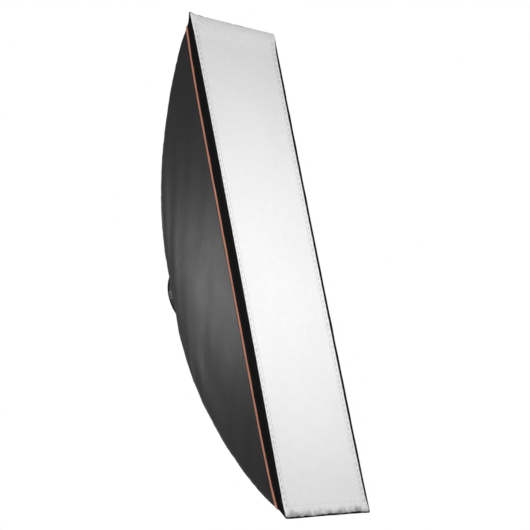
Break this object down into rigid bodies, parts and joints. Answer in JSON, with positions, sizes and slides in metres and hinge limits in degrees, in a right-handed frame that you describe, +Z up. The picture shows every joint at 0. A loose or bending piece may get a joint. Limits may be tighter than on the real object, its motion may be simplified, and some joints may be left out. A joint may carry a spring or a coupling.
{
  "type": "strip softbox",
  "caption": "Tall strip softbox: black cloth shell on bent rods, orange piping, white front diffuser, and a speed ring that turns on a bayonet adapter.",
  "frame": {"origin": "centre of the adapter's bore, in the plane of the adapter plate that meets the flash head", "axes": "+Z up along the long side, +Y backwards towards the flash head, +X to the right seen from the front; the diffuser faces -Y"},
  "size_m": [0.3, 0.307, 1.2],
  "materials": {
    "black_nylon": "satin, tight plain weave",
    "silver_lining": "metallised, pebbled sheen",
    "lip_cloth": "matt, plain weave",
    "orange_piping": "satin bias tape",
    "loop_tape": "brushed pile",
    "hook_tape": "matt moulded hooks",
    "diffusion_cloth": "matt, fine weave, translucent",
    "baffle_cloth": "matt, fine weave, translucent",
    "hem_binding": "matt grosgrain",
    "elastic": "matt ribbed",
    "webbing": "matt, coarse weave",
    "zinc_steel": "zinc plated, satin",
    "ring_aluminium": "die cast, bead blasted",
    "plated_screws": "bright zinc",
    "socket_steel": "black, semi-matt",
    "knob_plastic": "fine moulded grain",
    "brake_plastic": "smooth",
    "cap_plastic": "smooth",
    "rod_steel": "spring steel, oiled"
  },
  "bodies": {
    "adapter": {"adapter_plate": "zinc_steel", "bayonet_collar": "zinc_steel", "adapter_rivets": "plated_screws"},
    "lock_screw": {"lock_screw": "plated_screws", "lock_knob": "knob_plastic"},
    "brake": {"brake_pad": "brake_plastic"},
    "diffuser": {"diffuser_face": "diffusion_cloth", "diffuser_hem": "hem_binding", "hook_tape": "hook_tape"},
    "softbox": {"baffle_hem": "hem_binding", "baffle_sheet": "baffle_cloth", "baffle_straps": "elastic", "clip_screws": "plated_screws", "collar_elastic": "elastic", "corner_pocket_bottom_left": "webbing", "corner_pocket_bottom_right": "webbing", "corner_pocket_top_left": "webbing", "corner_pocket_top_right": "webbing", "lining_bottom": "silver_lining", "lining_left": "silver_lining", "lining_right": "silver_lining", "lining_top": "silver_lining", "lip_bottom": "lip_cloth", "lip_left": "lip_cloth", "lip_right": "lip_cloth", "lip_top": "lip_cloth", "loop_tape": "loop_tape", "panel_bottom": "black_nylon", "panel_left": "black_nylon", "panel_right": "black_nylon", "panel_top": "black_nylon", "piping": "orange_piping", "rear_collar": "webbing", "retaining_clips": "plated_screws", "rod_bottom_left": "rod_steel", "rod_bottom_right": "rod_steel", "rod_caps": "cap_plastic", "rod_socket_bottom_left": "socket_steel", "rod_socket_bottom_right": "socket_steel", "rod_socket_top_left": "socket_steel", "rod_socket_top_right": "socket_steel", "rod_top_left": "rod_steel", "rod_top_right": "rod_steel", "socket_screws": "plated_screws", "speed_ring": "ring_aluminium", "strap_tabs": "webbing"}
  },
  "joints": [
    {"name": "softbox_rotation", "type": "hinge", "parent": "adapter", "child": "softbox", "pos_m": [0, 0, 0], "axis": [0, 1, 0], "continuous": true},
    {"name": "lock_turn", "type": "hinge", "parent": "softbox", "child": "lock_screw", "pos_m": [0, -0.005, -0.09], "axis": [0, 0, 1], "range_deg": [0, 180]},
    {"name": "brake_travel", "type": "slide", "parent": "softbox", "child": "brake", "axis": [0, 0, 1], "range_m": [0, 0.0006]},
    {"name": "front_diffuser", "type": "slide", "parent": "softbox", "child": "diffuser", "axis": [0, -1, 0], "range_m": [0, 0.25]}
  ],
  "couplings": [
    {"joint": "brake_travel", "follows": "lock_turn", "m_per_rad": 0.00015915}
  ]
}
